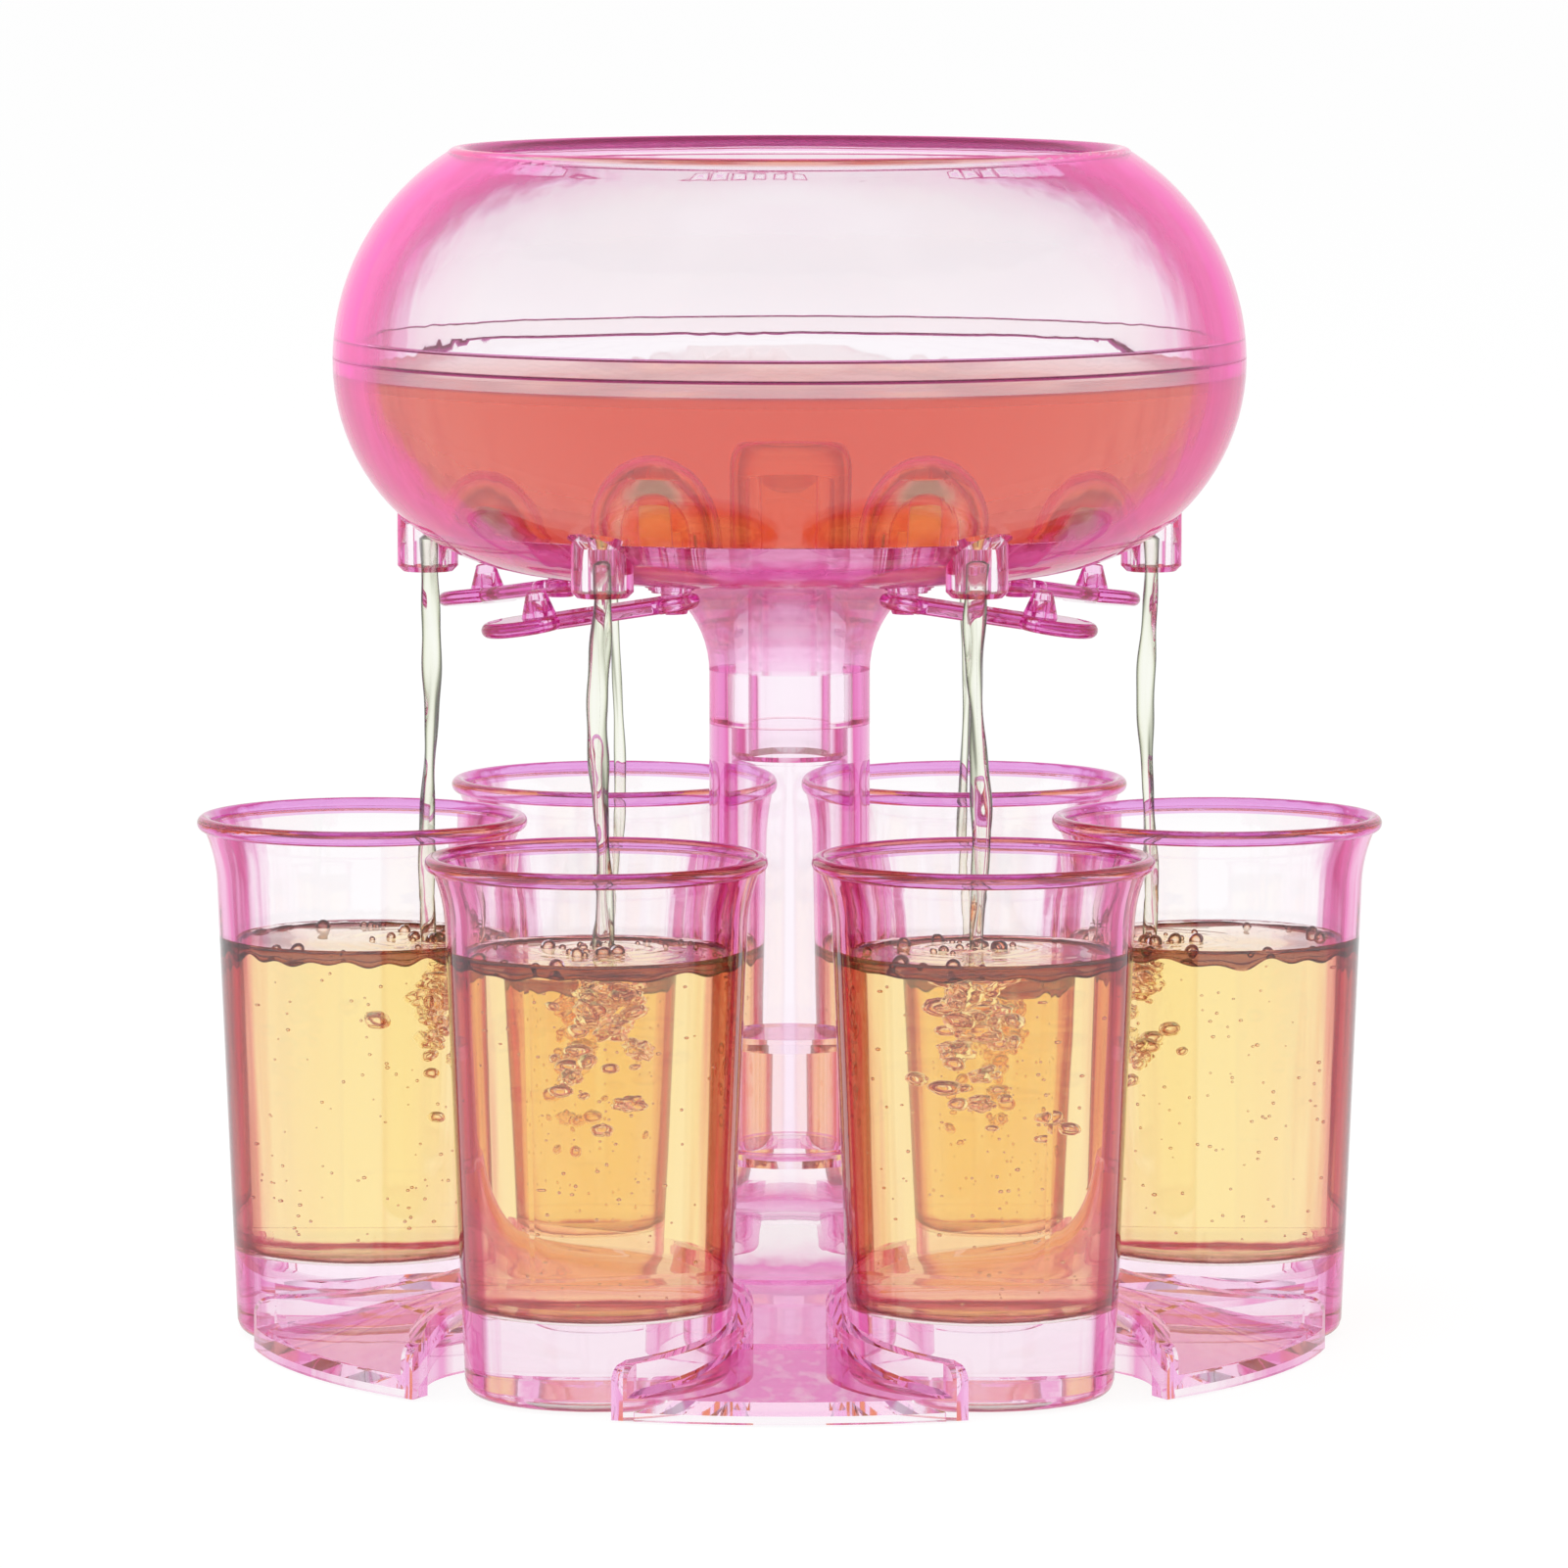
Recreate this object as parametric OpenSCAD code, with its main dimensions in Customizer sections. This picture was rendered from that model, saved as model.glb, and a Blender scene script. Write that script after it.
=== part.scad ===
// Party shot dispenser: a round clear bowl on a column, six nozzles with
// swing-away stoppers, and a flared base with a notch for each of six glasses.
// Millimetres, +Z up, origin on the column's axis at table level, front is -Y.

/* [Base] */
// Radius of the base at the table
base_r = 79; // [76:0.1:82]
// Wall of the moulded base
base_wall = 2.2; // [1.6:0.1:3]
// Height of the column's seat on the base
seat_z = 27.6; // [24:0.1:34]
// Radius of the raised ring that the column stands on
seat_r = 14; // [13:0.1:16]
// Radius of the hollow sweep from the seat out to the deck
sweep_r = 20.8; // [18:0.1:23]
// Height of the deck where the sweep ends
deck_in_z = 12.8; // [11:0.1:14]
// Radius where the deck breaks into the outer slope
deck_out_r = 62; // [59:0.1:66]
// Height of the deck at that break
deck_out_z = 8.4; // [7:0.1:10]
// Height of the base's edge above the table
edge_h = 3.2; // [2.4:0.1:4]
// Height of the spigot above the seat
spigot_h = 16.4; // [10:0.1:24]

/* [Glass notches] */
// Radius of each notch in the base
notch_r = 22; // [21.8:0.1:23]
// Distance of the notch centres from the axis
notch_ring_r = 58.5; // [58:0.1:59.5]
// Width of a notch's mouth at the base's edge
notch_mouth_w = 32.4; // [31:0.1:36]
// Wall of the raised collar round each notch
collar_wall = 2.2; // [1.6:0.1:3]
// Height of the collar above the table on its inner side
collar_in_z = 14.8; // [13:0.1:17]
// Height of the collar's ears near the base's edge
collar_out_z = 7.6; // [6:0.1:9]

/* [Column] */
// Outer radius of the column
column_r = 11.65; // [11.2:0.05:12.4]
// Wall of the column
column_wall = 2.1; // [1.6:0.1:2.1]
// Length of the column between the base and the bowl's stem
column_len = 61.6; // [56:0.1:80]
// Depth of the socket in the column's top
socket_len = 5.4; // [5.2:0.1:8]

/* [Bowl] */
// Radius of the bowl's section below its widest line
round_r = 30.2; // [29.4:0.1:31]
// Distance of that section's centre from the axis
ring_r = 35.8; // [35:0.1:36.5]
// Radius of the bowl's section above its widest line
crown_r = 35.6; // [34:0.1:37]
// Wall of the bowl
bowl_wall = 2.6; // [2.2:0.1:3]
// Length of the stem between the column and the bowl's underside
stem_len = 22.4; // [20:0.1:28]
// Radius of the bore up the stem
stem_bore_r = 6; // [5:0.1:6.6]
// Radius of the sweep from the stem to the underside
stem_sweep_r = 15; // [13:0.1:15.5]
// Radius of the stem's spigot
stem_spigot_r = 8.42; // [8:0.01:8.9]
// Length of the stem's spigot
stem_spigot_len = 5; // [4:0.1:5]
// Height of the seam between the shells above the underside
seam_h = 30.9; // [29:0.1:33]
// Height of the lower shell's tongue above the seam
tongue_h = 2.8; // [2:0.1:4]
// Angle of the upper section at which the bowl's mouth is cut
mouth_angle = 59; // [55:0.5:64]
// Radius of the bead round the mouth
bead_r = 1.45; // [1.3:0.05:1.8]

/* [Bowl floor] */
// Thickness of the floor where it meets the outer wall
floor_rim_h = 7.8; // [7:0.1:9]
// Thickness of the floor beside the centre boss
floor_mid_h = 10.4; // [9.5:0.1:12]
// Radius of the boss in the middle of the floor
boss_r = 6.6; // [6.2:0.1:8]
// Height of that boss above the underside
boss_h = 23.6; // [20:0.1:26]
// Radius of each domed lobe over a pivot
lobe_r = 8.4; // [8:0.1:9]
// Height above the underside at which a lobe's dome begins
lobe_h = 13.5; // [11:0.1:15.5]
// Wall of the lobes
lobe_wall = 2.2; // [1.8:0.1:2.6]

/* [Nozzles] */
// Distance of the nozzles from the axis
nozzle_ring_r = 52.4; // [51.5:0.1:53]
// Outer radius of a nozzle
nozzle_r = 4.4; // [4:0.1:5]
// Radius of the bore through a nozzle
nozzle_bore_r = 2.1; // [2.05:0.01:2.4]
// Distance of the nozzles' tips below the underside
nozzle_drop = 0.3; // [0.2:0.05:0.6]

/* [Stoppers] */
// Distance of the pivots from the axis
pivot_ring_r = 33.5; // [33.3:0.1:34]
// Radius of the pivot pins
pin_r = 1.5; // [1.3:0.05:1.6]
// Radius of the posts that hold the pins
post_r = 2.6; // [2.4:0.1:3.4]
// Thickness of the arms
arm_t = 2.1; // [1.9:0.05:2.2]
// Radius of an arm's round end at the pivot
arm_hub_r = 4; // [3.9:0.1:4.4]
// Radius of an arm's finger tab
arm_tab_r = 6; // [5:0.1:6.4]
// Width of an arm's neck
arm_neck_w = 6.6; // [5:0.1:7.6]
// Reach of the tab beyond the plug
tab_reach = 8.4; // [7:0.1:9]
// Distance of the arms' tilt axis below the underside
tilt_drop = 2.1; // [2.1:0.05:2.3]
// Angle at which the open arms droop
arm_droop = 8; // [7.9:0.1:9]
// Height of a plug above its arm
plug_h = 3.6; // [3:0.1:3.6]
// Radius of a plug at its foot
plug_foot_r = 2.5; // [2.3:0.05:2.6]
// Radius of a plug at its tip
plug_tip_r = 1.5; // [1.3:0.05:1.55]
// Swing of the side stoppers away from their nozzles
side_swing = 55; // [20:1:57]
// Swing of the front stoppers away from their nozzles
front_swing = 55; // [20:1:57]
// Swing of the rear stoppers away from their nozzles
rear_swing = 40; // [20:1:46]

/* [Glasses] */
// Height of a glass
glass_h = 75.8; // [70:0.1:80]
// Radius of a glass at its foot
glass_foot_r = 18.5; // [17.5:0.05:18.7]
// Radius of a glass where its rim starts to flare
glass_neck_r = 21.1; // [20:0.1:21.5]
// Radius of a glass at its rim
glass_rim_r = 24; // [22.6:0.1:24.2]
// Height over which the rim flares
flare_h = 10.8; // [8:0.1:16]
// Thickness of the solid glass bottom
glass_floor = 12.3; // [9:0.1:16]
// Wall of a glass
glass_wall = 2.2; // [1.6:0.1:2.6]
// Depth of the hollow under a glass
punt_h = 1.4; // [0.8:0.1:2.5]
// Distance of the two side glasses from the axis
side_glass_r = 62.1; // [60:0.1:62.6]
// Distance of the front and rear glasses from the axis
corner_glass_r = 58.7; // [58:0.1:59.2]
// Bearing of the front and rear glasses from the side glasses
corner_glass_angle = 62.6; // [60:0.1:62.8]

/* [Hidden] */
$fn = 96;
stations = 6;
station_step = 360 / stations;
over = 1;          // how far a cut runs past the face it opens
slip = 0.08;       // running clearance on a radius
joint_gap = 0.05;  // gap between faces that meet

// Heights, stacked up from the table
stem_z = seat_z + column_len;
under_z = stem_z + stem_len;
ring_z = under_z + round_r;
seam_z = under_z + seam_h;
nozzle_z = under_z - nozzle_drop;
tilt_z = under_z - tilt_drop;
spigot_r = column_r - column_wall - slip;
spigot_bore_r = spigot_r - base_wall;

// Bowl
inner_round_r = round_r - bowl_wall;
lap_r = round_r - bowl_wall / 2;
crown_extra = crown_r - round_r;
crown_ring_r = ring_r - crown_extra;
boss_edge = 1.6;
stem_chamfer = 0.8;

// Stoppers
arm_len = nozzle_ring_r - pivot_ring_r;
arm_web = 1.15;
arm_top = arm_web / 2;
pin_head_r = 2.6;
pin_head_h = 0.9;
pin_head_z = tilt_z - 1;
pin_reach = 8.5;
collar_r = 3.75;
collar_groove = 0.45;
collar_rings = 3;
collar_z = tilt_z + 1.1;
collar_h = 1.9;
post_z = collar_z + collar_h + 0.1;
tab_x = arm_len + tab_reach - arm_tab_r;
// Bearings of the arms as they rest open
open_swing = [side_swing, rear_swing, -rear_swing,
              -side_swing, -front_swing, front_swing];

// Glasses
flare_r = (flare_h * flare_h + pow(glass_rim_r - glass_neck_r, 2))
          / (2 * (glass_rim_r - glass_neck_r));
foot_edge = 2;
punt_inset = 4;    // width of the ring that a glass stands on
rim_bead = 1.1;
glass_places = [[side_glass_r, 0],
                [corner_glass_r, corner_glass_angle],
                [corner_glass_r, 180 - corner_glass_angle],
                [side_glass_r, 180],
                [corner_glass_r, 180 + corner_glass_angle],
                [corner_glass_r, -corner_glass_angle]];

pink = [0.95, 0.45, 0.82, 0.55];
deep_pink = [0.88, 0.28, 0.70, 0.7];
pale_pink = [0.98, 0.70, 0.92, 0.5];

// A thing repeated at each of the six stations, at distance r
module at_stations(r) {
    for (i = [0 : stations - 1])
        rotate([0, 0, i * station_step])
            translate([r, 0, 0])
                children();
}

// ---- Base -------------------------------------------------------------

// Half section of the base's top surface, sunk by t along its normals.
// The sweep is an arc about a point out from the seat's edge.
sweep_x = seat_r + sweep_r * 0.9615;
sweep_top = deck_in_z + sweep_r;

module base_section(t) {
    difference() {
        polygon([[0, 0],
                 [base_r - t, 0],
                 [base_r - t, max(edge_h - t, 0)],
                 [deck_out_r - t * 0.3, deck_out_z - t],
                 [sweep_x, deck_in_z - t],
                 [sweep_x - 2, seat_z - t],
                 [0, seat_z - t]]);
        intersection() {
            translate([sweep_x, sweep_top])
                circle(r = sweep_r + t);
            translate([seat_r - t, 0])
                square([sweep_x - seat_r + t, seat_z + over]);
        }
    }
}

// Space that the notch collars may fill, from the table to their crests
module crest_section() {
    nose = 2.4;
    intersection() {
        union() {
            polygon([[seat_r, 0],
                     [seat_r, collar_in_z],
                     [notch_ring_r - notch_r, collar_in_z],
                     [base_r - nose, collar_out_z],
                     [base_r - nose, 0]]);
            translate([base_r - nose, collar_out_z - nose])
                circle(r = nose);
            translate([base_r - 2 * nose, 0])
                square([2 * nose, collar_out_z - nose]);
        }
        square([base_r, collar_in_z]);
    }
}

// A notch's outline, grown by t: a circle that opens through a straight mouth
module notch_outline(t) {
    circle(r = notch_r + t);
    translate([0, -notch_mouth_w / 2 - t])
        square([base_r, notch_mouth_w + 2 * t]);
}

module base() {
    color(pale_pink)
    difference() {
        union() {
            difference() {
                rotate_extrude() base_section(0);
                translate([0, 0, -joint_gap])
                    rotate_extrude() base_section(base_wall);
                translate([0, 0, seat_z - base_wall - over])
                    cylinder(r = spigot_bore_r, h = base_wall + 2 * over);
            }
            translate([0, 0, seat_z - base_wall])
                difference() {
                    cylinder(r = spigot_r, h = base_wall + spigot_h);
                    translate([0, 0, -over])
                        cylinder(r = spigot_bore_r, h = spigot_h + over);
                }
            intersection() {
                at_stations(notch_ring_r)
                    linear_extrude(height = collar_in_z)
                        notch_outline(collar_wall);
                rotate_extrude() crest_section();
            }
        }
        at_stations(notch_ring_r)
            translate([0, 0, -over])
                linear_extrude(height = seat_z + over)
                    notch_outline(0);
    }
}

// ---- Column -----------------------------------------------------------

module column_tube() {
    bore_r = column_r - column_wall;
    color(pink)
    translate([0, 0, seat_z + joint_gap])
    difference() {
        cylinder(r = column_r, h = column_len - joint_gap);
        translate([0, 0, -over])
            cylinder(r = bore_r, h = column_len - socket_len + over);
        cylinder(r = stem_spigot_r + slip, h = column_len + over);
    }
}

// ---- Bowl -------------------------------------------------------------

// Everything inside the bowl's section: an arc of radius r below the widest
// line, and the larger arc that meets it there above
module round_section(r) {
    intersection() {
        union() {
            translate([ring_r, ring_z])
                circle(r = r);
            translate([0, ring_z - r])
                square([ring_r, r]);
        }
        square([ring_r + r, ring_z]);
    }
    intersection() {
        union() {
            translate([crown_ring_r, ring_z])
                circle(r = r + crown_extra);
            translate([0, ring_z])
                square([crown_ring_r, r + crown_extra]);
        }
        translate([0, ring_z])
            square([ring_r + r, r + crown_extra]);
    }
}

module stem_section() {
    polygon([[0, stem_z - stem_spigot_len],
             [stem_spigot_r - stem_chamfer, stem_z - stem_spigot_len],
             [stem_spigot_r, stem_z - stem_spigot_len + stem_chamfer],
             [stem_spigot_r, stem_z + joint_gap],
             [column_r, stem_z + joint_gap],
             [column_r, under_z + over],
             [0, under_z + over]]);
    difference() {
        translate([column_r - over, under_z - stem_sweep_r])
            square([stem_sweep_r + over, stem_sweep_r + over]);
        translate([column_r + stem_sweep_r, under_z - stem_sweep_r])
            circle(r = stem_sweep_r);
    }
}

module lower_solid_section() {
    intersection() {
        round_section(round_r);
        square([ring_r + round_r, seam_z]);
    }
    intersection() {
        round_section(lap_r);
        square([ring_r + round_r, seam_z + tongue_h]);
    }
    stem_section();
}

// The space for the drink, above a floor that falls towards the nozzles
module drink_section() {
    difference() {
        intersection() {
            round_section(inner_round_r);
            polygon([[0, under_z + floor_mid_h],
                     [ring_r + round_r, under_z + floor_rim_h],
                     [ring_r + round_r, ring_z + crown_r],
                     [0, ring_z + crown_r]]);
        }
        square([boss_r - boss_edge, under_z + boss_h]);
        square([boss_r, under_z + boss_h - boss_edge]);
        translate([boss_r - boss_edge, under_z + boss_h - boss_edge])
            circle(r = boss_edge);
    }
}

// A tall lobe at each pivot: a drafted wall under a dome of radius r
module lobe_domes(r) {
    draft = 0.6;
    at_stations(pivot_ring_r) {
        translate([0, 0, under_z - over])
            cylinder(r1 = r + draft, r2 = r, h = lobe_h + over);
        translate([0, 0, under_z + lobe_h])
            sphere(r = r);
    }
}

// Six nozzles with a small chamfer at the tip, rooted in the bowl's wall
module nozzles() {
    chamfer = 0.8;
    root_h = 3;
    at_stations(nozzle_ring_r)
        translate([0, 0, nozzle_z]) {
            cylinder(r1 = nozzle_r - chamfer, r2 = nozzle_r, h = chamfer);
            translate([0, 0, chamfer])
                cylinder(r = nozzle_r, h = nozzle_drop + floor_rim_h + root_h);
        }
}

module nozzle_bores() {
    funnel_h = 2.4;
    at_stations(nozzle_ring_r) {
        translate([0, 0, nozzle_z - over])
            cylinder(r = nozzle_bore_r, h = ring_z - nozzle_z);
        translate([0, 0, under_z + floor_rim_h - funnel_h / 2])
            cylinder(r1 = nozzle_bore_r, r2 = nozzle_bore_r + funnel_h,
                     h = funnel_h);
    }
}

// Hollows under the lobes, round the posts that hold the pivot pins
module pivot_pockets() {
    difference() {
        lobe_domes(lobe_r - lobe_wall);
        at_stations(pivot_ring_r)
            translate([0, 0, post_z])
                cylinder(r1 = post_r, r2 = post_r + 0.6, h = lobe_h + lobe_r);
    }
    at_stations(pivot_ring_r)
        translate([0, 0, under_z])
            cylinder(r = pin_r + joint_gap, h = pin_reach - 0.5);
}

module bowl_lower() {
    color(pink)
    difference() {
        union() {
            rotate_extrude() lower_solid_section();
            nozzles();
        }
        difference() {
            rotate_extrude() drink_section();
            lobe_domes(lobe_r);
        }
        translate([0, 0, stem_z - stem_spigot_len - over])
            cylinder(r = stem_bore_r,
                     h = stem_spigot_len + stem_len + floor_mid_h / 2 + over);
        translate([0, 0, under_z])
            cylinder(r = boss_r - lobe_wall, h = boss_h - lobe_wall);
        nozzle_bores();
        pivot_pockets();
    }
}

module upper_section() {
    reach = ring_r + round_r;
    mouth_mid_r = lap_r + crown_extra;
    intersection() {
        difference() {
            round_section(round_r);
            round_section(inner_round_r);
            intersection() {
                round_section(lap_r + joint_gap);
                square([reach, seam_z + tongue_h + joint_gap]);
            }
        }
        translate([0, seam_z + joint_gap])
            square([reach, crown_r]);
        translate([crown_ring_r, ring_z])
            polygon([[0, 0],
                     [reach * cos(mouth_angle), reach * sin(mouth_angle)],
                     [reach, reach],
                     [reach, -round_r],
                     [0, -round_r]]);
    }
    translate([crown_ring_r + mouth_mid_r * cos(mouth_angle),
               ring_z + mouth_mid_r * sin(mouth_angle)])
        circle(r = bead_r);
}

module bowl_upper() {
    color(pale_pink)
    rotate_extrude() upper_section();
}

// ---- Stoppers ---------------------------------------------------------

module pivot_pins() {
    slot_w = 0.7;
    slot_h = 0.4;
    color(deep_pink)
    at_stations(pivot_ring_r)
        difference() {
            union() {
                translate([0, 0, pin_head_z - pin_head_h])
                    cylinder(r1 = pin_head_r - 0.4, r2 = pin_head_r, h = pin_head_h);
                translate([0, 0, pin_head_z])
                    cylinder(r = pin_r, h = tilt_drop + pin_reach - over);
            }
            translate([0, 0, pin_head_z - pin_head_h])
                cube([2 * pin_head_r, slot_w, 2 * slot_h], center = true);
        }
}

// A ribbed collar that turns on the pin and bears on the arm
module stopper_collar(i) {
    ring_h = collar_h / (2 * collar_rings - 1);
    color(deep_pink)
    rotate([0, 0, (i - 1) * station_step])
        translate([pivot_ring_r, 0, collar_z])
            difference() {
                union() {
                    cylinder(r = collar_r - collar_groove, h = collar_h);
                    for (k = [0 : collar_rings - 1])
                        translate([0, 0, 2 * k * ring_h])
                            cylinder(r = collar_r, h = ring_h);
                }
                translate([0, 0, -over])
                    cylinder(r = pin_r + slip, h = collar_h + 2 * over);
                // The lowest rib is cut back so that the arm can tilt
                difference() {
                    translate([0, 0, -over])
                        cylinder(r = collar_r + over, h = over + ring_h);
                    translate([0, 0, -2 * over])
                        cylinder(r = collar_r - 2 * collar_groove, h = 4 * over);
                }
            }
}

// A disc of the arm's thickness with a fully rounded rim
module round_disc(r) {
    edge = arm_t / 2;
    rotate_extrude()
        union() {
            translate([0, arm_top - arm_t])
                square([r - edge, arm_t]);
            translate([r - edge, arm_top - edge])
                circle(r = edge);
        }
}

// A straight neck with rounded sides, from the pivot to the tab
module round_neck() {
    edge = arm_t / 2;
    side = arm_neck_w / 2 - edge;
    rotate([90, 0, 90])
        linear_extrude(height = tab_x)
            union() {
                translate([-side, arm_top - arm_t])
                    square([2 * side, arm_t]);
                for (s = [-side, side])
                    translate([s, arm_top - edge])
                        circle(r = edge);
            }
}

// An upright plug that tapers, with a domed tip
module plug() {
    dome = 0.5;
    translate([arm_len, 0, 0])
        rotate_extrude()
            union() {
                polygon([[0, 0],
                         [plug_foot_r, 0],
                         [plug_foot_r, arm_top],
                         [plug_tip_r, arm_top + plug_h - dome],
                         [0, arm_top + plug_h - dome]]);
                intersection() {
                    translate([plug_tip_r - dome, arm_top + plug_h - dome])
                        circle(r = dome);
                    translate([0, arm_top + plug_h - dome])
                        square([plug_tip_r, dome]);
                }
                square([plug_tip_r - dome, arm_top + plug_h]);
            }
}

module stopper_arm(i) {
    color(deep_pink)
    rotate([0, 0, (i - 1) * station_step])
        translate([pivot_ring_r, 0, tilt_z])
            rotate([0, arm_droop, open_swing[i - 1]])
                difference() {
                    union() {
                        round_disc(arm_hub_r);
                        round_neck();
                        translate([tab_x, 0, 0])
                            round_disc(arm_tab_r);
                        plug();
                    }
                    // Hole for the pin, and room under the web for its head
                    translate([0, 0, -arm_t])
                        cylinder(r = pin_r + 0.4, h = 2 * arm_t);
                    translate([0, 0, -arm_top - arm_t])
                        cylinder(r = pin_head_r + 0.45, h = arm_t);
                    // The plug is cored from below
                    translate([arm_len, 0, -arm_t - over])
                        cylinder(r = plug_tip_r - 0.6, h = arm_t + over + plug_h - 1);
                }
}

// ---- Glasses ----------------------------------------------------------

// Half section of a glass's outside: a straight taper, then a flared rim
module glass_outer_section(t) {
    neck_z = glass_h - flare_h;
    difference() {
        polygon([[0, 0],
                 [glass_foot_r - t, 0],
                 [glass_neck_r - t, neck_z],
                 [glass_rim_r + over, neck_z],
                 [glass_rim_r + over, glass_h + over],
                 [0, glass_h + over]]);
        intersection() {
            translate([glass_neck_r + flare_r, neck_z])
                circle(r = flare_r + t);
            translate([0, neck_z - over])
                square([glass_neck_r + flare_r, flare_h + 3 * over]);
        }
    }
}

module glass_section() {
    difference() {
        intersection() {
            glass_outer_section(0);
            square([glass_rim_r + over, glass_h - rim_bead]);
            union() {
                translate([0, foot_edge])
                    square([glass_rim_r + over, glass_h]);
                square([glass_foot_r - foot_edge, glass_h]);
                translate([glass_foot_r - foot_edge, foot_edge])
                    circle(r = foot_edge);
            }
        }
        intersection() {
            glass_outer_section(glass_wall);
            union() {
                translate([0, glass_floor + foot_edge])
                    square([glass_rim_r, glass_h]);
                translate([0, glass_floor])
                    square([glass_foot_r - glass_wall - foot_edge, glass_h]);
                translate([glass_foot_r - glass_wall - foot_edge, glass_floor + foot_edge])
                    circle(r = foot_edge);
            }
        }
        square([glass_foot_r - punt_inset, punt_h]);
    }
    translate([glass_rim_r - rim_bead, glass_h - rim_bead])
        circle(r = rim_bead);
}

module glass(i) {
    place = glass_places[i - 1];
    color(pale_pink)
    rotate([0, 0, place[1]])
        translate([place[0], 0, 0])
            rotate_extrude() glass_section();
}

// ---- Nodes ------------------------------------------------------------

base();
column_tube();
bowl_lower();
bowl_upper();
pivot_pins();
stopper_collar(1);  // stopper_collar_1
stopper_collar(2);  // stopper_collar_2
stopper_collar(3);  // stopper_collar_3
stopper_collar(4);  // stopper_collar_4
stopper_collar(5);  // stopper_collar_5
stopper_collar(6);  // stopper_collar_6
stopper_arm(1);  // stopper_arm_1
stopper_arm(2);  // stopper_arm_2
stopper_arm(3);  // stopper_arm_3
stopper_arm(4);  // stopper_arm_4
stopper_arm(5);  // stopper_arm_5
stopper_arm(6);  // stopper_arm_6
glass(1);  // glass_1
glass(2);  // glass_2
glass(3);  // glass_3
glass(4);  // glass_4
glass(5);  // glass_5
glass(6);  // glass_6
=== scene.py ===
"""Looks of the party shot dispenser: clear pink plastic, amber drink, and a plain white set."""
import math

import bmesh
import bpy
import numpy as np
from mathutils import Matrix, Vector


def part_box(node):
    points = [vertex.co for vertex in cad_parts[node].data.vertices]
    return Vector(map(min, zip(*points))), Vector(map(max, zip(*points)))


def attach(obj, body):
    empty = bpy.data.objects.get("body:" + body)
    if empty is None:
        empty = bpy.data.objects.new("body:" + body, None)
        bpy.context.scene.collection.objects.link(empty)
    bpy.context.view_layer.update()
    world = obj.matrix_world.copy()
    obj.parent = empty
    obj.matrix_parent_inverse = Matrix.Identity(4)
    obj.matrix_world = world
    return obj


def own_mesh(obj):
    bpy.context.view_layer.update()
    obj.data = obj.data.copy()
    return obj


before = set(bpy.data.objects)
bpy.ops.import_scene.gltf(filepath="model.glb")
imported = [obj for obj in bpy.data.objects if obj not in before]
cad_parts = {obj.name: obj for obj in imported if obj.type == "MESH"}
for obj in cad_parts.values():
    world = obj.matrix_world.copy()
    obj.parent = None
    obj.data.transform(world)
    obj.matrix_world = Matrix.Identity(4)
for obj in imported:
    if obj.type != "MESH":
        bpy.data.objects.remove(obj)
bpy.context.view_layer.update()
SCENE = bpy.context.scene
MM = 0.001

# ---- Camera: the photograph's, as a distance from a point on the column's axis ------
PHOTO_PX = 1601
FOCAL_PX = 9137
SENSOR_WIDTH = 36
CAMERA_DISTANCE = 1300 * MM
CAMERA_PITCH = math.radians(6.12)
CAMERA_REACH = 100
AIM = Vector((-0.8, 0, 80.2)) * MM


def add_camera():
    data = bpy.data.cameras.new("camera")
    data.sensor_width = SENSOR_WIDTH
    data.lens = SENSOR_WIDTH * FOCAL_PX / PHOTO_PX
    data.clip_end = CAMERA_REACH
    camera = bpy.data.objects.new("camera", data)
    back = Vector((0, -math.cos(CAMERA_PITCH), math.sin(CAMERA_PITCH)))
    camera.location = AIM + back * CAMERA_DISTANCE
    camera.rotation_euler = (math.pi / 2 - CAMERA_PITCH, 0, 0)
    SCENE.collection.objects.link(camera)
    SCENE.camera = camera


# ---- Node helpers -------------------------------------------------------------------

# Nearly all of a noise texture's values lie between these.
NOISE_LOW, NOISE_HIGH = 0.3, 0.7


def new_material(name):
    material = bpy.data.materials.new(name)
    material.use_nodes = True
    tree = material.node_tree
    tree.nodes.clear()
    output = tree.nodes.new("ShaderNodeOutputMaterial")
    return material, tree, output


def feed(tree, value, socket):
    """Links another node's output to a socket, or sets a plain value on it."""
    if isinstance(value, bpy.types.NodeSocket):
        tree.links.new(value, socket)
    else:
        socket.default_value = value


def calc(tree, operation, *values):
    """The result of a maths node on outputs and plain numbers."""
    node = tree.nodes.new("ShaderNodeMath")
    node.operation = operation
    for value, socket in zip(values, node.inputs):
        feed(tree, value, socket)
    return node.outputs[0]


def blend(tree, colour, factor, other, how="MIX"):
    """The colour where factor is 0, and where it is 1 the other one or, with MULTIPLY, both."""
    mix = tree.nodes.new("ShaderNodeMix")
    mix.data_type = "RGBA"
    mix.blend_type = how
    feed(tree, factor, mix.inputs["Factor"])
    feed(tree, colour, mix.inputs["A"])
    feed(tree, other, mix.inputs["B"])
    return mix.outputs["Result"]


def mix_shaders(tree, factor, first, second):
    mix = tree.nodes.new("ShaderNodeMixShader")
    tree.links.new(factor, mix.inputs["Fac"])
    tree.links.new(first, mix.inputs[1])
    tree.links.new(second, mix.inputs[2])
    return mix.outputs["Shader"]


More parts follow.
